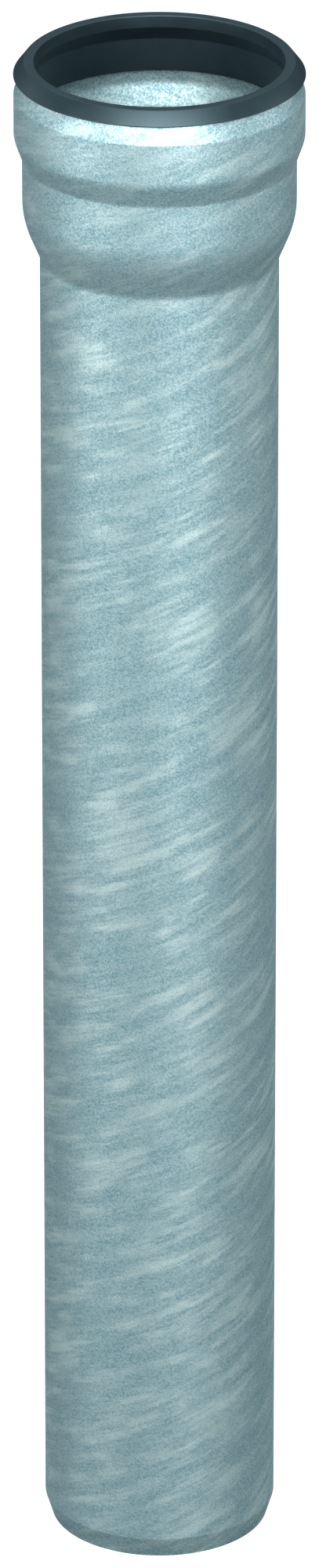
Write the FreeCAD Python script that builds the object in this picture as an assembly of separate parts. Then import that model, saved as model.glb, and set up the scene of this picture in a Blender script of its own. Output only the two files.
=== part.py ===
"""Socketed steel drain pipe with a rubber sealing ring in its socket.

The pipe stands on its plain end, the spigot, with the socket up. The origin is the
centre of the spigot's end face, and +Z runs up the pipe's axis. Sizes are in
millimetres and angles in degrees from the axis.

Both pieces are turned about Z from an outline in the XZ plane, where x is the radius
and z the height. The steel is one sheet of even thickness: its inner surface runs
parallel to its outer one, and every bend has one centre for both.
"""
import FreeCAD
import Part
import math
import os

# The pipe
OVERALL_LENGTH = 692.0      # from the spigot's end to the top of the sealing ring
PIPE_DIAMETER = 102.0       # outside
WALL = 2.0                  # thickness of the steel, everywhere

# The spigot: the end is drawn in so that it enters the next socket easily
SPIGOT_TAPER_HEIGHT = 9.7
SPIGOT_DRAW_IN = 3.0        # how much smaller the radius is at the end
SPIGOT_BEND = 1.0

# The socket: radial room round a spigot that is pushed in
NECK_ROOM = 5.4             # to the wall of the neck
LIP_ROOM = 2.2              # to the sealing ring's lip
SKIRT_ROOM = 5.0            # to the sealing ring's skirt

# The socket's neck and chamber, and the rim that leans in over the chamber
NECK_HEIGHT = 26.5
NECK_FLARE_ANGLE = 22.5     # the cone between the pipe and the neck
NECK_FLARE_FOOT_BEND = 8.0
NECK_FOOT_BEND = 38.0
CHAMBER_HEIGHT = 19.2
CHAMBER_FLARE_ANGLE = 19.5  # the cone between the neck and the chamber
NECK_TOP_BEND = 5.0
CHAMBER_FOOT_BEND = 10.0
RIM_HEIGHT = 9.8
RIM_LEAN_ANGLE = 20.5
RIM_BEND = 0.8

# The sealing ring: a head that caps the rim, and a skirt that lines the chamber
RING_HEIGHT = 26.2
HEAD_HEIGHT = 6.1           # from the top to the flange's underside
HEAD_TOP_WIDTH = 4.5        # of the flat top
RIM_GRIP = 1.6              # how far the rim reaches up into the head
FLANGE_OVERHANG = 0.5       # of the flange's corner, before it is rounded, past the chamber
LIP_HEIGHT = 5.4
UNDERCUT_HEIGHT = 6.0       # of the cone between the lip and the skirt
SKIRT_THICKNESS = 3.9
RING_EDGE_ROUND = 0.4
UNDERCUT_ROUND = 2.0

AXIS_POINT = FreeCAD.Vector(0, 0, 0)
UP = FreeCAD.Vector(0, 0, 1)
SHARP = 0.0                 # the rounding radius of a corner that isn't rounded


def at(radius, height):
    """A point of an outline."""
    return FreeCAD.Vector(radius, 0, height)


def direction(start, end):
    """The unit vector from one point towards another."""
    return (end - start).normalize()


def towards_axis(along):
    """The unit normal on the axis side of a run that is followed upwards."""
    return FreeCAD.Vector(-along.z, 0, along.x)


def cone_height(radius_change, angle):
    """How high a cone is that changes the radius so much at this angle from the axis."""
    return radius_change / math.tan(math.radians(angle))


def rounding(before, corner, after, radius):
    """The start, middle and end of the arc that rounds a corner of an outline."""
    back = direction(corner, before)
    ahead = direction(corner, after)
    half_angle = back.getAngle(ahead) / 2
    setback = radius / math.tan(half_angle)
    depth = radius / math.sin(half_angle) - radius
    return corner + back * setback, corner + (back + ahead).normalize() * depth, corner + ahead * setback


def turned(corners):
    """The solid turned about Z from a closed outline of (corner, rounding radius) pairs."""
    points = [corner for corner, _ in corners]
    following = points[1:] + points[:1]
    arcs = [
        rounding(points[i - 1], points[i], following[i], radius)
        for i, (_, radius) in enumerate(corners)
    ]
    edges = []
    for (start, middle, end), (_, radius), next_arc in zip(arcs, corners, arcs[1:] + arcs[:1]):
        if radius > SHARP:
            edges.append(Part.Arc(start, middle, end).toShape())
        edges.append(Part.makeLine(end, next_arc[0]))
    return Part.Face(Part.Wire(edges)).revolve(AXIS_POINT, UP, 360)


def inner_bend_corner(before, corner, after):
    """The inner surface's corner at a bend: both runs moved towards the axis by the wall."""
    first = towards_axis(direction(before, corner))
    second = towards_axis(direction(corner, after))
    return corner + (first + second) * (WALL / (1 + first.dot(second)))


def bend_radii(before, corner, after, bend):
    """The outer and inner surface's radius at a bend: the smaller one is on its hollow side."""
    turn = direction(before, corner).cross(direction(corner, after)).y
    if turn > 0:
        return bend, bend + WALL
    return bend + WALL, bend


def square_cut(end, along):
    """The inner surface's end, where the sheet is cut square to the axis."""
    return end - at(WALL / along.z, 0)


def steel_surfaces():
    """The steel's outer and inner surface, from the spigot up, as (corner, radius) pairs."""
    pipe_radius = PIPE_DIAMETER / 2
    neck_radius = pipe_radius + NECK_ROOM + WALL
    chamber_radius = pipe_radius + SKIRT_ROOM + SKIRT_THICKNESS + WALL
    rim_draw_in = RIM_HEIGHT * math.tan(math.radians(RIM_LEAN_ANGLE))

    rim_top = OVERALL_LENGTH - HEAD_HEIGHT + RIM_GRIP
    chamber_top = rim_top - RIM_HEIGHT
    chamber_foot = chamber_top - CHAMBER_HEIGHT
    neck_top = chamber_foot - cone_height(chamber_radius - neck_radius, CHAMBER_FLARE_ANGLE)
    neck_foot = neck_top - NECK_HEIGHT
    pipe_top = neck_foot - cone_height(neck_radius - pipe_radius, NECK_FLARE_ANGLE)

    outline = [at(pipe_radius - SPIGOT_DRAW_IN, 0)]
    bends = []
    for radius, height, bend in (
        (pipe_radius, SPIGOT_TAPER_HEIGHT, SPIGOT_BEND),
        (pipe_radius, pipe_top, NECK_FLARE_FOOT_BEND),
        (neck_radius, neck_foot, NECK_FOOT_BEND),
        (neck_radius, neck_top, NECK_TOP_BEND),
        (chamber_radius, chamber_foot, CHAMBER_FOOT_BEND),
        (chamber_radius, chamber_top, RIM_BEND),
    ):
        outline.append(at(radius, height))
        bends.append(bend)
    outline.append(at(chamber_radius - rim_draw_in, rim_top))

    spigot_cut = square_cut(outline[0], direction(outline[0], outline[1]))
    rim_cut = square_cut(outline[-1], direction(outline[-2], outline[-1]))
    outer = [(outline[0], SHARP)]
    inner = [(spigot_cut, SHARP)]
    for before, corner, after, bend in zip(outline, outline[1:], outline[2:], bends):
        outer_radius, inner_radius = bend_radii(before, corner, after, bend)
        outer.append((corner, outer_radius))
        inner.append((inner_bend_corner(before, corner, after), inner_radius))
    outer.append((outline[-1], SHARP))
    inner.append((rim_cut, SHARP))
    return outer, inner


def steel_pipe():
    """The pipe with its drawn-in spigot and its socket, formed from one tube."""
    outer, inner = steel_surfaces()
    return turned(outer + inner[::-1])


def sealing_ring():
    """The rubber ring: it caps the rim, and lies against the rim and the chamber's wall."""
    outer, inner = steel_surfaces()
    (chamber_top, _), (rim_outer, _) = outer[-2:]
    (shoulder, shoulder_radius), (rim_inner, _) = inner[-2:]

    top = OVERALL_LENGTH
    flange_underside = top - HEAD_HEIGHT
    skirt_foot = top - RING_HEIGHT
    pipe_radius = PIPE_DIAMETER / 2
    lip_radius = pipe_radius + LIP_ROOM
    skirt_radius = pipe_radius + SKIRT_ROOM
    share_of_rim = (flange_underside - chamber_top.z) / (rim_outer.z - chamber_top.z)
    seat = chamber_top + (rim_outer - chamber_top) * share_of_rim
    return turned([
        (at(lip_radius, top), RING_EDGE_ROUND),
        (at(lip_radius + HEAD_TOP_WIDTH, top), RING_EDGE_ROUND),
        (at(chamber_top.x + FLANGE_OVERHANG, flange_underside), RING_EDGE_ROUND),
        (seat, SHARP),
        (rim_outer, SHARP),
        (rim_inner, SHARP),
        (shoulder, shoulder_radius),
        (at(shoulder.x, skirt_foot), SHARP),
        (at(skirt_radius, skirt_foot), RING_EDGE_ROUND),
        (at(skirt_radius, top - LIP_HEIGHT - UNDERCUT_HEIGHT), UNDERCUT_ROUND),
        (at(lip_radius, top - LIP_HEIGHT), RING_EDGE_ROUND),
    ])


os.makedirs("parts", exist_ok=True)
for name, solid in (("steel_pipe", steel_pipe()), ("sealing_ring", sealing_ring())):
    solid.exportStep(f"parts/{name}.step")
    box = solid.optimalBoundingBox()
    print(f"{name}: {solid.Volume / 1000:.1f} cm3, valid {solid.isValid()}, "
          f"radius {box.XMax:.2f}, from {box.ZMin:.2f} to {box.ZMax:.2f}")
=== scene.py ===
"""Dresses a socketed steel drain pipe and its sealing ring, and lights them for a picture.

The pipe stands on its spigot with the socket up. Its axis is Z, and the floor is at
z = 0. Sizes are in metres. Both pieces are turned about Z from an outline of stations,
each a radius at a height.
"""
import logging
import math
from dataclasses import dataclass
from enum import Enum

import bpy
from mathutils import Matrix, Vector


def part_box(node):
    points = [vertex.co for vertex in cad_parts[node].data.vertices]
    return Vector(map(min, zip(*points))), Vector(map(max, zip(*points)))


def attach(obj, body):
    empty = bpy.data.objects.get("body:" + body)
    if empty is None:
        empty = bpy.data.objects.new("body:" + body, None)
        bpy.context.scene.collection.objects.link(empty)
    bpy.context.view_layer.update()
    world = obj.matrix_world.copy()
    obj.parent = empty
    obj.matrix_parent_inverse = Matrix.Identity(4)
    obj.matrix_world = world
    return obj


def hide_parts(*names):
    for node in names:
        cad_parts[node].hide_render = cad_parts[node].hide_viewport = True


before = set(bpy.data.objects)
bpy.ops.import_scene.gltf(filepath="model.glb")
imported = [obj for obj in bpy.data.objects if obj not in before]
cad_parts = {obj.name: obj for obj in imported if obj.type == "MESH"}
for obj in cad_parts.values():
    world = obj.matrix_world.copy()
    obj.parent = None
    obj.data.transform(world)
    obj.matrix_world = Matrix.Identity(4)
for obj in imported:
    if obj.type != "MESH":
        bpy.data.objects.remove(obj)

log = logging.getLogger("drain_pipe")

BODY = "root"
WHITE = (1.0, 1.0, 1.0, 1.0)
MERGE_DISTANCE = 1e-6       # points of a mesh that are closer than this become one

Colour = tuple[float, float, float, float]
Span = tuple[float, float]


class Slot(Enum):
    """The material slots that the record names."""

    STEEL = "galvanised_steel"
    RUBBER = "black_rubber"


# ---------------------------------------------------------------- outlines

@dataclass(frozen=True)
class Corner:
    """A corner of an outline, rounded by an arc unless its rounding is 0.

    Attributes:
        radius: Its distance from the axis.
        height: Its height.
        rounding: The radius of the arc.
    """

    radius: float
    height: float
    rounding: float = 0.0

    @property
    def point(self) -> Vector:
        """The corner as a point of the plane, x the radius and y the height."""
        return Vector((self.radius, self.height))


def arc_stations(before: Corner, corner: Corner, after: Corner, steps: int) -> list[Vector]:
    """Stations along the arc that rounds a corner.

    Args:
        before: The corner before it on the outline.
        corner: The corner to round.
        after: The corner after it on the outline.
        steps: How many straight steps the arc is made of.

    Returns:
        The arc's stations in order, or the corner alone where it isn't rounded.
    """
    if corner.rounding == 0.0:
        return [corner.point]
    back = (before.point - corner.point).normalized()
    ahead = (after.point - corner.point).normalized()
    half_angle = back.angle(ahead) / 2
    centre = corner.point + (back + ahead).normalized() * (corner.rounding / math.sin(half_angle))
    setback = corner.rounding / math.tan(half_angle)
    start = corner.point + back * setback - centre
    end = corner.point + ahead * setback - centre
    turn = start.angle_signed(end)
    stations = []
    for step in range(steps + 1):
        angle = -turn * step / steps
        stations.append(centre + Vector((
            start.x * math.cos(angle) - start.y * math.sin(angle),
            start.x * math.sin(angle) + start.y * math.cos(angle),
        )))
    return stations


def stations_of(outline: list[Corner], steps: int) -> list[Vector]:
    """All stations of a closed outline.

    Args:
        outline: Its corners in order.
        steps: How many straight steps each rounding has.

    Returns:
        The stations in order, from the first corner's.
    """
    stations = []
    for index, corner in enumerate(outline):
        after = outline[(index + 1) % len(outline)]
        stations += arc_stations(outline[index - 1], corner, after, steps)
    return stations


def cone_height(radius_change: float, angle: float) -> float:
    """How high a cone is that changes the radius so much, at an angle from the axis."""
    return radius_change / math.tan(angle)


# ---------------------------------------------------------------- turned pieces

@dataclass(frozen=True)
class TurnedPiece:
    """A piece turned about Z. Its subclasses say its name, its slot and its outline.

    Attributes:
        segments: How many flat strips go round the piece.
        arc_steps: How many steps each rounding of the outline has.
        crease: The angle past which an edge stays sharp.
    """

    segments: int = 256
    arc_steps: int = 8
    crease: float = math.radians(25)

    name = "piece"
    node = "node"
    slot = Slot.STEEL

    def outline(self) -> list[Corner]:
        """The closed outline that is turned."""
        raise NotImplementedError

    def model(self) -> bpy.types.Object:
        """Turns the outline: a ring is drawn up, in and down through every station.

        Returns:
            The finished mesh object, at the origin.
        """
        first, *others = stations_of(self.outline(), self.arc_steps)
        bpy.ops.mesh.primitive_circle_add(
            vertices=self.segments, radius=first.x, fill_type="NOTHING", location=(0, 0, first.y)
        )
        piece = bpy.context.object
        piece.name = piece.data.name = self.name
        bpy.ops.object.transform_apply(location=True, rotation=True, scale=True)
        bpy.ops.object.mode_set(mode="EDIT")
        bpy.ops.mesh.select_all(action="SELECT")
        last = first
        for station in others:
            bpy.ops.mesh.extrude_edges_move(
                TRANSFORM_OT_translate={"value": (0, 0, station.y - last.y)}
            )
            size = station.x / last.x
            bpy.ops.transform.resize(value=(size, size, 1), center_override=(0, 0, station.y))
            last = station
        bpy.ops.mesh.select_mode(type="EDGE")
        bpy.ops.mesh.select_all(action="DESELECT")
        bpy.ops.mesh.select_non_manifold()
        bpy.ops.mesh.bridge_edge_loops()
        bpy.ops.mesh.select_all(action="SELECT")
        bpy.ops.mesh.remove_doubles(threshold=MERGE_DISTANCE)
        bpy.ops.mesh.normals_make_consistent(inside=False)
        bpy.ops.object.mode_set(mode="OBJECT")
        bpy.ops.object.shade_smooth_by_angle(angle=self.crease)
        return piece

    def build(self, finish: bpy.types.Material) -> bpy.types.Object:
        """Models the piece, dresses it and puts it in the place of its node.

        Args:
            finish: The material of the whole piece.

        Returns:
            The finished piece.
        """
        deselect_all()
        piece = self.model()
        piece.data.materials.append(finish)
        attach(piece, BODY)
        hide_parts(self.node)
        node_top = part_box(self.node)[1].z
        top = max(vertex.co.z for vertex in piece.data.vertices)
        log.info("%s: %d faces, top %.4f m, its node's top %.4f m",
                 self.name, len(piece.data.polygons), top, node_top)
        return piece


@dataclass(frozen=True)
class SteelPipe(TurnedPiece):
    """The pipe with its drawn-in spigot and its socket, of one sheet of even thickness.

    Bends are given by the radius on their hollow side, as a bender's tool has it. Flares
    and the rim's lean are angles from the axis.

    Attributes:
        top: The height of the rim's end.
        chamber_radius: The outer radius of the chamber.
        wall: The thickness of the steel, everywhere.
        radius: The outer radius of the pipe.
        spigot_radius: The outer radius of the drawn-in end.
        spigot_taper_height: How high the drawn-in part is.
        spigot_bend: The bend above it.
        cut_edge: The rounding of the cut end's edges.
        neck_radius: The outer radius of the neck.
        neck_height: The height of its straight part, between the corners.
        neck_flare: The angle of the cone between the pipe and the neck.
        neck_flare_foot_bend: The bend at the foot of that cone.
        neck_foot_bend: The bend between the cone and the neck.
        neck_top_bend: The bend at the top of the neck.
        chamber_height: The height of the chamber's straight part.
        chamber_flare: The angle of the cone between the neck and the chamber.
        chamber_foot_bend: The bend between that cone and the chamber.
        rim_height: The height of the rim that leans in over the chamber.
        rim_lean: The angle of the rim.
        rim_bend: The bend between the chamber and the rim.
    """

    top: float = 0.6875
    chamber_radius: float = 0.0619
    wall: float = 0.002
    radius: float = 0.051
    spigot_radius: float = 0.048
    spigot_taper_height: float = 0.0097
    spigot_bend: float = 0.001
    cut_edge: float = 0.00025
    neck_radius: float = 0.0584
    neck_height: float = 0.0265
    neck_flare: float = math.radians(22.5)
    neck_flare_foot_bend: float = 0.008
    neck_foot_bend: float = 0.038
    neck_top_bend: float = 0.005
    chamber_height: float = 0.0192
    chamber_flare: float = math.radians(19.5)
    chamber_foot_bend: float = 0.010
    rim_height: float = 0.0098
    rim_lean: float = math.radians(20.5)
    rim_bend: float = 0.0008

    name = "galvanised_pipe"
    node = "steel_pipe"
    slot = Slot.STEEL

    def outer_corners(self) -> list[tuple[float, float, float]]:
        """The outer surface from the spigot up.

        Returns:
            The radius, the height and the bend of each corner.
        """
        chamber_top = self.top - self.rim_height
        chamber_foot = chamber_top - self.chamber_height
        neck_top = chamber_foot - cone_height(self.chamber_radius - self.neck_radius, self.chamber_flare)
        neck_foot = neck_top - self.neck_height
        pipe_top = neck_foot - cone_height(self.neck_radius - self.radius, self.neck_flare)
        rim_radius = self.chamber_radius - self.rim_height * math.tan(self.rim_lean)
        return [
            (self.spigot_radius, 0.0, 0.0),
            (self.radius, self.spigot_taper_height, self.spigot_bend),
            (self.radius, pipe_top, self.neck_flare_foot_bend),
            (self.neck_radius, neck_foot, self.neck_foot_bend),
            (self.neck_radius, neck_top, self.neck_top_bend),
            (self.chamber_radius, chamber_foot, self.chamber_foot_bend),
            (self.chamber_radius, chamber_top, self.rim_bend),
            (rim_radius, self.top, 0.0),
        ]

    def surfaces(self) -> tuple[list[Corner], list[Corner]]:
        """Both surfaces, from the spigot up.

        Returns:
            The outer surface's corners and the inner surface's.
        """
        corners = self.outer_corners()
        points = [Vector(corner[:2]) for corner in corners]
        runs = [(after - before).normalized() for before, after in zip(points, points[1:])]
        outer = [Corner(*points[0], self.cut_edge)]
        inner = [Corner(points[0].x - self.wall / runs[0].y, points[0].y, self.cut_edge)]
        for point, below, above, (_, _, bend) in zip(points[1:], runs, runs[1:], corners[1:]):
            first = Vector((-below.y, below.x))
            second = Vector((-above.y, above.x))
            inside = point + (first + second) * (self.wall / (1 + first.dot(second)))
            outwards = below.x * above.y - below.y * above.x < 0
            outer.append(Corner(*point, bend if outwards else bend + self.wall))
            inner.append(Corner(*inside, bend + self.wall if outwards else bend))
        outer.append(Corner(*points[-1]))
        inner.append(Corner(points[-1].x - self.wall / runs[-1].y, points[-1].y))
        return outer, inner

    def outline(self) -> list[Corner]:
        """Up the outside and down the inside."""
        outer, inner = self.surfaces()
        return outer + inner[::-1]


@dataclass(frozen=True)
class SealingRing(TurnedPiece):
    """The rubber ring that caps the pipe's rim and lines its chamber.

    Attributes:
        pipe: The pipe that it sits in.
        top: The height of its top.
        foot: The height of the skirt's end.
        lip_radius: The inner radius of the mouth's lip.
        lip_height: How high the lip is.
        undercut_height: The height of the cone between the lip and the skirt.
        undercut_round: The rounding where that cone meets the skirt.
        skirt_radius: The inner radius of the skirt.
        head_height: From the flange's underside to the top.
        head_top_width: The width of the flat top.
        flange_overhang: How far the flange's corner stands out past the chamber.
        edge_round: The rounding of the other edges.
    """

    pipe: SteelPipe = SteelPipe()
    top: float = 0.692
    foot: float = 0.6658
    lip_radius: float = 0.0532
    lip_height: float = 0.0054
    undercut_height: float = 0.006
    undercut_round: float = 0.002
    skirt_radius: float = 0.056
    head_height: float = 0.0061
    head_top_width: float = 0.0045
    flange_overhang: float = 0.0005
    edge_round: float = 0.0004

    name = "rubber_sealing_ring"
    node = "sealing_ring"
    slot = Slot.RUBBER

    def outline(self) -> list[Corner]:
        """Over the head, up and over the pipe's rim, and down and up the skirt.

        Returns:
            The corners, from the mouth's top edge.
        """
        outer, inner = self.pipe.surfaces()
        chamber_top, rim_outer = outer[-2:]
        shoulder, rim_inner = inner[-2:]
        underside = self.top - self.head_height
        lip_foot = self.top - self.lip_height
        share = (underside - chamber_top.height) / (rim_outer.height - chamber_top.height)
        seat_radius = chamber_top.radius + (rim_outer.radius - chamber_top.radius) * share
        return [
            Corner(self.lip_radius, self.top, self.edge_round),
            Corner(self.lip_radius + self.head_top_width, self.top, self.edge_round),
            Corner(chamber_top.radius + self.flange_overhang, underside, self.edge_round),
            Corner(seat_radius, underside),
            rim_outer,
            rim_inner,
            shoulder,
            Corner(shoulder.radius, self.foot),
            Corner(self.skirt_radius, self.foot, self.edge_round),
            Corner(self.skirt_radius, lip_foot - self.undercut_height, self.undercut_round),
            Corner(self.lip_radius, lip_foot, self.edge_round),
        ]


def deselect_all() -> None:
    """Deselects every object, because an operator acts on all that is selected."""
    bpy.ops.object.select_all(action="DESELECT")


# ---------------------------------------------------------------- node tools

class NodeTree:
    """A short way to write a shader node tree."""

    def __init__(self, tree: bpy.types.NodeTree) -> None:
        """Takes the tree that the nodes go into."""
        self.tree = tree

    def add(self, kind: str, inputs: dict | None = None, **settings: object) -> bpy.types.Node:
        """Adds a node.

        Args:
            kind: Its type's name after "ShaderNode".
            inputs: A value, or a socket to link from, for each input by name or index.
            **settings: The node's own properties.

        Returns:
            The node.
        """
        node = self.tree.nodes.new("ShaderNode" + kind)
        for key, value in settings.items():
            setattr(node, key, value)
        for key, value in (inputs or {}).items():
            self.feed(node.inputs[key], value)
        return node

    def feed(self, socket: bpy.types.NodeSocket, value: object) -> None:
        """Links a socket into an input, or sets the input's own value.

        Args:
            socket: The input.
            value: The socket to link from, or the value to set.
        """
        if isinstance(value, bpy.types.NodeSocket):
            self.tree.links.new(value, socket)
        else:
            socket.default_value = value

    def math(self, operation: str, *values: object) -> bpy.types.NodeSocket:
        """A Math node's result, from one or two values or sockets."""
        return self.add("Math", dict(enumerate(values)), operation=operation).outputs[0]

    def span(
        self,
        value: bpy.types.NodeSocket,
        low: float,
        high: float,
        to_low: float = 0.0,
        to_high: float = 1.0,
    ) -> bpy.types.NodeSocket:
        """A value carried smoothly from one span to another, and held at its ends.

        Args:
            value: The socket that carries the value.
            low: The start of the span that it comes from.
            high: The end of that span.
            to_low: The start of the span that it goes to.
            to_high: The end of that span.

        Returns:
            The result's socket.
        """
        node = self.add("MapRange", {
            "Value": value, "From Min": low, "From Max": high, "To Min": to_low, "To Max": to_high,
        }, interpolation_type="SMOOTHSTEP")
        return node.outputs["Result"]

    def blend(self, share: bpy.types.NodeSocket, first: Colour, second: Colour) -> bpy.types.NodeSocket:
        """Two colours mixed by a share, 0 for the first and 1 for the second."""
        return self.add("Mix", {0: share, 6: first, 7: second}, data_type="RGBA").outputs[2]

    def object_place(self) -> bpy.types.NodeSocket:
        """The place on the piece, in metres, as the piece's own mesh has it."""
        return self.add("TexCoord").outputs["Object"]


def group_socket(
    tree: bpy.types.NodeTree, name: str, way: str, kind: str, value: float | None = None
) -> None:
    """Gives a node group a named input or output.

    Args:
        tree: The group.
        name: The socket's name.
        way: INPUT or OUTPUT.
        kind: The socket type's name after "NodeSocket".
        value: The default, where it has one.
    """
    socket = tree.interface.new_socket(name=name, in_out=way, socket_type="NodeSocket" + kind)
    if value is not None:
        socket.default_value = value


def new_group(
    name: str, inputs: dict[str, float], outputs: dict[str, str]
) -> tuple[bpy.types.NodeTree, NodeTree, bpy.types.Node, bpy.types.Node]:
    """Starts a node group.

    Args:
        name: Its name.
        inputs: Each number that it takes, with its default.
        outputs: Each result's socket type, by name.

    Returns:
        The group, its nodes' helper, its input node and its output node.
    """
    tree = bpy.data.node_groups.new(name, "ShaderNodeTree")
    for key, value in inputs.items():
        group_socket(tree, key, "INPUT", "Float", value)
    for key, kind in outputs.items():
        group_socket(tree, key, "OUTPUT", kind)
    enter = tree.nodes.new("NodeGroupInput")
    leave = tree.nodes.new("NodeGroupOutput")
    return tree, NodeTree(tree), enter, leave


@dataclass(frozen=True)
class GrainGroup:
    """The node group of fine crystals: single grains, a soft mottle, and their normal.

    Attributes:
        crystal_scale: The crystals' scale, with the fine noise's as 1.
        noise_share: How much of a grain the fine noise makes.
        crystal_share: How much of it the crystal makes.
        grain_span: The mixed grain that is carried to 0 and to 1.
        mottle_span: The soft noise that is carried to 0 and to 1.
    """

    crystal_scale: float = 0.8
    noise_share: float = 0.62
    crystal_share: float = 0.38
    grain_span: Span = (0.28, 0.72)
    mottle_span: Span = (0.3, 0.7)

    def build(self) -> bpy.types.NodeTree:
        """Builds the group.

        Returns:
            The group, with the outputs Grain, Mottle and Normal.
        """
        tree, nodes, enter, leave = new_group(
            "grain",
            {"Grain Size": 0.0006, "Mottle Size": 0.01, "Relief": 0.3, "Depth": 0.0001},
            {"Grain": "Float", "Mottle": "Float", "Normal": "Vector"},
        )
        place = nodes.object_place()
        grain_size = enter.outputs["Grain Size"]
        fine = nodes.add("TexNoise", {
            "Vector": place, "Scale": nodes.math("DIVIDE", 1.0, grain_size),
            "Detail": 2.0, "Roughness": 0.55,
        })
        crystals = nodes.add("TexVoronoi", {
            "Vector": place, "Scale": nodes.math("DIVIDE", self.crystal_scale, grain_size),
            "Randomness": 1.0,
        })
        crystal = nodes.add("SeparateColor", {"Color": crystals.outputs["Color"]}).outputs["Red"]
        mixed = nodes.math("ADD", nodes.math("MULTIPLY", fine.outputs[0], self.noise_share),
                           nodes.math("MULTIPLY", crystal, self.crystal_share))
        soft = nodes.add("TexNoise", {
            "Vector": place, "Scale": nodes.math("DIVIDE", 1.0, enter.outputs["Mottle Size"]),
            "Detail": 3.0, "Roughness": 0.6,
        })
        bump = nodes.add("Bump", {
            "Strength": enter.outputs["Relief"], "Distance": enter.outputs["Depth"], "Height": mixed,
        })
        nodes.feed(leave.inputs["Grain"], nodes.span(mixed, *self.grain_span))
        nodes.feed(leave.inputs["Mottle"], nodes.span(soft.outputs[0], *self.mottle_span))
        nodes.feed(leave.inputs["Normal"], bump.outputs["Normal"])
        return tree


@dataclass(frozen=True)
class StreakGroup:
    """The node group of soft streaks that climb round a pipe, as its rollers leave them.

    The pattern is wrapped round the pipe twice, once with its cut at the back and once
    with its cut at the front, and each half of the pipe shows the one that isn't cut.

    Attributes:
        blend_depth: How far in front of and behind the axis the two are blended.
        streak_span: The noise that is carried to 0 and to 1.
    """

    blend_depth: float = 0.02
    streak_span: Span = (0.40, 0.72)

    def wrapped(
        self,
        nodes: NodeTree,
        enter: bpy.types.Node,
        place: list[bpy.types.NodeSocket],
        side: float,
    ) -> bpy.types.NodeSocket:
        """The streaks' noise, wrapped round the pipe.

        Args:
            nodes: The group's nodes.
            enter: The group's input node.
            place: The sockets of x, y and z.
            side: 1 to have the cut at the back, -1 to have it at the front.

        Returns:
            The noise.
        """
        x, y, z = place
        turn = nodes.math("ARCTAN2", nodes.math("MULTIPLY", x, side), nodes.math("MULTIPLY", y, -side))
        round_way = nodes.math("MULTIPLY", turn, enter.outputs["Radius"])
        flat = nodes.add("CombineXYZ", {"X": round_way, "Y": z, "Z": side})
        turned = nodes.add("VectorRotate", {
            "Vector": flat.outputs[0],
            "Angle": nodes.math("MULTIPLY", enter.outputs["Climb"], -1.0),
        }, rotation_type="Z_AXIS")
        size = nodes.add("CombineXYZ", {
            "X": enter.outputs["Length"], "Y": enter.outputs["Width"], "Z": 1.0,
        })
        scaled = nodes.add("VectorMath", {0: turned.outputs[0], 1: size.outputs[0]}, operation="DIVIDE")
        noise = nodes.add("TexNoise", {
            "Vector": scaled.outputs[0], "Scale": 1.0, "Detail": 3.0, "Roughness": 0.55,
        })
        return noise.outputs[0]

    def build(self) -> bpy.types.NodeTree:
        """Builds the group.

        Returns:
            The group, with the output Streak.
        """
        tree, nodes, enter, leave = new_group(
            "roller_streaks",
            {"Radius": 0.051, "Length": 0.03, "Width": 0.004, "Climb": math.radians(22)},
            {"Streak": "Float"},
        )
        place = list(nodes.add("SeparateXYZ", {0: nodes.object_place()}).outputs)
        front = self.wrapped(nodes, enter, place, 1.0)
        back = self.wrapped(nodes, enter, place, -1.0)
        share = nodes.span(place[1], -self.blend_depth, self.blend_depth)
        front_part = nodes.math("MULTIPLY", front, nodes.math("SUBTRACT", 1.0, share))
        joined = nodes.math("ADD", front_part, nodes.math("MULTIPLY", back, share))
        nodes.feed(leave.inputs["Streak"], nodes.span(joined, *self.streak_span))
        return tree


# ---------------------------------------------------------------- finishes

@dataclass(frozen=True)
class Grain:
    """What a finish gives the grain group.

    Attributes:
        size: The size of a crystal.
        mottle: The size of a soft patch.
        relief: How strongly the crystals stand out, from 0 to 1.
        depth: How deep they are.
    """

    size: float
    mottle: float
    relief: float
    depth: float

    def inputs(self) -> dict[str, float]:
        """The values by the group's input names."""
        return {
            "Grain Size": self.size, "Mottle Size": self.mottle, "Relief": self.relief, "Depth": self.depth,
        }


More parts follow.
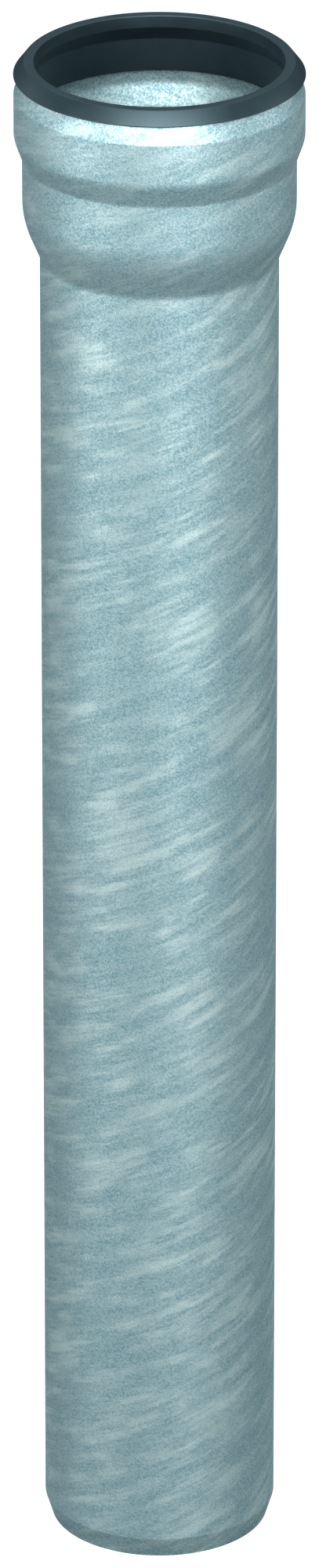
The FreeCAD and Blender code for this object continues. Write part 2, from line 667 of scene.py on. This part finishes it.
@dataclass(frozen=True)
class Galvanising:
    """Hot-dip zinc on the pipe: fine crystals, a soft mottle and climbing streaks.

    Attributes:
        grain: The node group of crystals.
        streaks: The node group of streaks.
        crystals: What the crystals' group is given.
        dark: The colour of the dull zinc.
        pale: The colour of the bright zinc.
        broad_streak: The length and width of the broad streaks.
        narrow_streak: The length and width of the narrow ones.
        broad_share: How much the broad streaks count.
        narrow_share: How much the narrow ones count.
        mottle_span: The mottle between which the streaks go from faint to full.
        faint_streak: The streaks' strength at the low end of it.
        socket_heights: The heights between which the streaks weaken towards the socket.
        socket_streak: Their strength on the socket.
        grain_tone: How far the crystals carry the colour from dark to pale.
        streak_tone: How far the streaks carry it.
        roughness: The roughness of the brightest and of the dullest zinc.
        gloss_share: How much the streaks and the crystals each count for the roughness.
    """

    grain: bpy.types.NodeTree
    streaks: bpy.types.NodeTree
    crystals: Grain = Grain(size=0.0005, mottle=0.035, relief=0.85, depth=0.00012)
    dark: Colour = (0.21, 0.345, 0.385, 1.0)
    pale: Colour = (0.83, 0.93, 0.90, 1.0)
    broad_streak: Span = (0.034, 0.0055)
    narrow_streak: Span = (0.016, 0.0016)
    broad_share: float = 0.7
    narrow_share: float = 0.3
    mottle_span: Span = (0.1, 0.8)
    faint_streak: float = 0.35
    socket_heights: Span = (0.585, 0.63)
    socket_streak: float = 0.62
    grain_tone: float = 0.44
    streak_tone: float = 0.76
    roughness: Span = (0.43, 0.60)
    gloss_share: float = 0.5

    def streak(self, nodes: NodeTree, mottle: bpy.types.NodeSocket) -> bpy.types.NodeSocket:
        """How bright the streaks are, from broad and narrow ones.

        Args:
            nodes: The material's nodes.
            mottle: The mottle, which breaks the streaks up.

        Returns:
            The streaks' strength, from 0 to 1.
        """
        parts = []
        for (length, width), share in (
            (self.broad_streak, self.broad_share), (self.narrow_streak, self.narrow_share),
        ):
            streaks = nodes.add("Group", node_tree=self.streaks)
            streaks.inputs["Length"].default_value = length
            streaks.inputs["Width"].default_value = width
            parts.append(nodes.math("MULTIPLY", streaks.outputs[0], share))
        streak = nodes.math("ADD", *parts)
        broken = nodes.span(mottle, *self.mottle_span, self.faint_streak, 1.0)
        streak = nodes.math("MULTIPLY", streak, broken)
        height = nodes.add("SeparateXYZ", {0: nodes.object_place()}).outputs["Z"]
        upwards = nodes.span(height, *self.socket_heights, 1.0, self.socket_streak)
        return nodes.math("MULTIPLY", streak, upwards)

    def material(self) -> bpy.types.Material:
        """Makes the material.

        Returns:
            The finished material.
        """
        finish = bpy.data.materials.new("galvanising")
        finish.use_nodes = True
        nodes = NodeTree(finish.node_tree)
        shader = finish.node_tree.nodes["Principled BSDF"]
        grain = nodes.add("Group", node_tree=self.grain)
        for key, value in self.crystals.inputs().items():
            grain.inputs[key].default_value = value
        streak = self.streak(nodes, grain.outputs["Mottle"])
        tone = nodes.math("ADD", nodes.math("MULTIPLY", grain.outputs["Grain"], self.grain_tone),
                          nodes.math("MULTIPLY", streak, self.streak_tone))
        nodes.feed(shader.inputs["Base Color"], nodes.blend(tone, self.dark, self.pale))
        gloss = nodes.math("ADD", nodes.math("MULTIPLY", streak, self.gloss_share),
                           nodes.math("MULTIPLY", grain.outputs["Grain"], self.gloss_share))
        bright, dull = self.roughness
        nodes.feed(shader.inputs["Roughness"], nodes.span(gloss, 0.0, 1.0, dull, bright))
        nodes.feed(shader.inputs["Normal"], grain.outputs["Normal"])
        shader.inputs["Metallic"].default_value = 1.0
        return finish


@dataclass(frozen=True)
class MouldedRubber:
    """Black rubber with a faint bluish bloom and a fine moulded texture.

    Attributes:
        grain: The node group of the moulded texture.
        texture: What that group is given.
        deep: The colour of the bare rubber.
        bloom: The colour under the bloom.
        roughness: The roughness of the bare rubber and of the bloom.
        sheen_tint: The tint of its reflections.
    """

    grain: bpy.types.NodeTree
    texture: Grain = Grain(size=0.0004, mottle=0.008, relief=0.12, depth=0.00004)
    deep: Colour = (0.0035, 0.0065, 0.0090, 1.0)
    bloom: Colour = (0.0050, 0.0090, 0.0120, 1.0)
    roughness: Span = (0.42, 0.45)
    sheen_tint: Colour = (0.66, 0.92, 1.0, 1.0)

    def material(self) -> bpy.types.Material:
        """Makes the material.

        Returns:
            The finished material.
        """
        finish = bpy.data.materials.new("moulded_rubber")
        finish.use_nodes = True
        nodes = NodeTree(finish.node_tree)
        shader = finish.node_tree.nodes["Principled BSDF"]
        grain = nodes.add("Group", node_tree=self.grain)
        for key, value in self.texture.inputs().items():
            grain.inputs[key].default_value = value
        mottle = grain.outputs["Mottle"]
        nodes.feed(shader.inputs["Base Color"], nodes.blend(mottle, self.deep, self.bloom))
        nodes.feed(shader.inputs["Roughness"], nodes.span(mottle, 0.0, 1.0, *self.roughness))
        nodes.feed(shader.inputs["Normal"], grain.outputs["Normal"])
        shader.inputs["Specular IOR Level"].default_value = 1.0
        shader.inputs["Specular Tint"].default_value = self.sheen_tint
        return finish


# ---------------------------------------------------------------- studio

@dataclass(frozen=True)
class SoftLight:
    """A rectangular soft light that faces a point of the pipe.

    Attributes:
        name: Its name.
        turn: Its direction round the pipe in degrees, from the camera's side to the right.
        lift: Its direction above the horizon, in degrees.
        distance: From the point it faces.
        width: Its width.
        height: Its height.
        power: Its power in watts.
        aim: The height of the point that it faces.
        tint: Its colour.
    """

    name: str
    turn: float
    lift: float
    distance: float
    width: float
    height: float
    power: float
    aim: float = 0.35
    tint: tuple[float, float, float] = (0.90, 0.98, 1.0)

    def place(self) -> bpy.types.Object:
        """Adds the light, hidden from the camera's own rays.

        Returns:
            The light's object.
        """
        data = bpy.data.lights.new(self.name, "AREA")
        data.shape = "RECTANGLE"
        data.size = self.width
        data.size_y = self.height
        data.energy = self.power
        data.color = self.tint
        turn = math.radians(self.turn)
        lift = math.radians(self.lift)
        way = Vector((math.sin(turn) * math.cos(lift), -math.cos(turn) * math.cos(lift), math.sin(lift)))
        light = bpy.data.objects.new(self.name, data)
        light.location = Vector((0, 0, self.aim)) + way * self.distance
        light.rotation_euler = way.to_track_quat("Z", "Y").to_euler()
        light.visible_camera = False
        bpy.context.scene.collection.objects.link(light)
        return light


@dataclass(frozen=True)
class Studio:
    """The floor, the surrounding light, the soft lights and the camera.

    Attributes:
        floor_size: The floor's width and depth.
        floor_grey: The part of the seen floor that takes light and shadow.
        floor_glow: How much light of its own the seen floor adds.
        floor_felt: The floor's colour for the light that it throws back at the pipe.
        fill: The colour of the light from all round.
        camera_lift: How far above the horizon the camera is, in degrees.
        camera_distance: From the point that it faces.
        camera_aim: The height of that point.
        camera_lens: Its focal length in millimetres.
        camera_reach: How far it sees.
        lights: The soft lights.
    """

    floor_size: float = 400.0
    floor_grey: Colour = (0.25, 0.25, 0.25, 1.0)
    floor_glow: float = 0.93
    floor_felt: Colour = (0.17, 0.185, 0.19, 1.0)
    fill: Colour = (0.15, 0.235, 0.27, 1.0)
    camera_lift: float = 24.785
    camera_distance: float = 5.0356
    camera_aim: float = 0.35524
    camera_lens: float = 265.86
    camera_reach: float = 1000.0
    lights: tuple[SoftLight, ...] = (
        SoftLight("left_soft_light", -60, 0, 2.6, 1.2, 2.6, 52),
        SoftLight("right_soft_light", 94, 2, 2.6, 2.0, 2.6, 27),
        SoftLight("low_front_light", 26, -2, 2.6, 2.4, 1.8, 48, aim=0.15),
        SoftLight("wide_front_light", 0, 36, 2.5, 2.6, 1.0, 76, aim=0.55),
        SoftLight("rim_strip_light", -4, 16, 2.5, 2.8, 0.5, 14, aim=0.68),
        SoftLight("high_front_light", -2, 52, 2.5, 2.0, 0.9, 14, aim=0.68),
        SoftLight("back_left_light", -114, 6, 2.6, 1.4, 2.0, 9),
        SoftLight("back_soft_light", 180, 66, 2.6, 2.0, 1.2, 20),
    )

    def floor(self) -> bpy.types.Object:
        """Adds a pale floor at z = 0 that shows white, with a faint shadow under the pipe.

        Returns:
            The floor's object.
        """
        deselect_all()
        bpy.ops.mesh.primitive_plane_add(size=self.floor_size, location=(0, 0, 0))
        floor = bpy.context.object
        floor.name = "floor"
        finish = bpy.data.materials.new("floor_paint")
        finish.use_nodes = True
        tree = finish.node_tree
        nodes = NodeTree(tree)
        tree.nodes.remove(tree.nodes["Principled BSDF"])
        seen = nodes.add("AddShader", {
            0: nodes.add("BsdfDiffuse", {"Color": self.floor_grey}).outputs[0],
            1: nodes.add("Emission", {"Color": WHITE, "Strength": self.floor_glow}).outputs[0],
        })
        felt = nodes.add("BsdfDiffuse", {"Color": self.floor_felt})
        mixed = nodes.add("MixShader", {
            0: nodes.add("LightPath").outputs["Is Camera Ray"], 1: felt.outputs[0], 2: seen.outputs[0],
        })
        nodes.feed(tree.nodes["Material Output"].inputs["Surface"], mixed.outputs[0])
        floor.data.materials.append(finish)
        return floor

    def world(self) -> None:
        """Makes the surroundings white to the camera and a soft bluish grey to the pipe."""
        world = bpy.data.worlds.new("studio")
        bpy.context.scene.world = world
        world.use_nodes = True
        nodes = NodeTree(world.node_tree)
        seen = nodes.add("LightPath").outputs["Is Camera Ray"]
        background = world.node_tree.nodes["Background"]
        nodes.feed(background.inputs["Color"], nodes.blend(seen, self.fill, WHITE))

    def camera(self) -> bpy.types.Object:
        """Adds the camera, level across, looking down on the pipe from far off.

        Returns:
            The camera's object.
        """
        lift = math.radians(self.camera_lift)
        data = bpy.data.cameras.new("camera")
        data.lens = self.camera_lens
        data.clip_end = self.camera_reach
        camera = bpy.data.objects.new("camera", data)
        camera.location = (
            0,
            -self.camera_distance * math.cos(lift),
            self.camera_aim + self.camera_distance * math.sin(lift),
        )
        camera.rotation_euler = (math.pi / 2 - lift, 0, 0)
        bpy.context.scene.collection.objects.link(camera)
        bpy.context.scene.camera = camera
        return camera

    def build(self) -> None:
        """Sets up the camera, the floor, the surroundings and the lights."""
        self.camera()
        self.floor()
        self.world()
        for light in self.lights:
            light.place()
        bpy.context.scene.view_settings.view_transform = "Standard"
        log.info("studio: %d lights", len(self.lights))


def main() -> None:
    """Builds the pipe, its ring and the studio."""
    logging.basicConfig(level=logging.INFO, format="%(name)s: %(message)s")
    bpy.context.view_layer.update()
    pipe_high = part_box("steel_pipe")[1]
    ring_low, ring_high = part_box("sealing_ring")

    Studio().build()
    grain = GrainGroup().build()
    streaks = StreakGroup().build()
    pipe = SteelPipe(top=pipe_high.z, chamber_radius=pipe_high.x)
    pipe.build(Galvanising(grain, streaks).material())
    ring = SealingRing(pipe=pipe, top=ring_high.z, foot=ring_low.z)
    ring.build(MouldedRubber(grain).material())


if __name__ == "__main__":
    main()
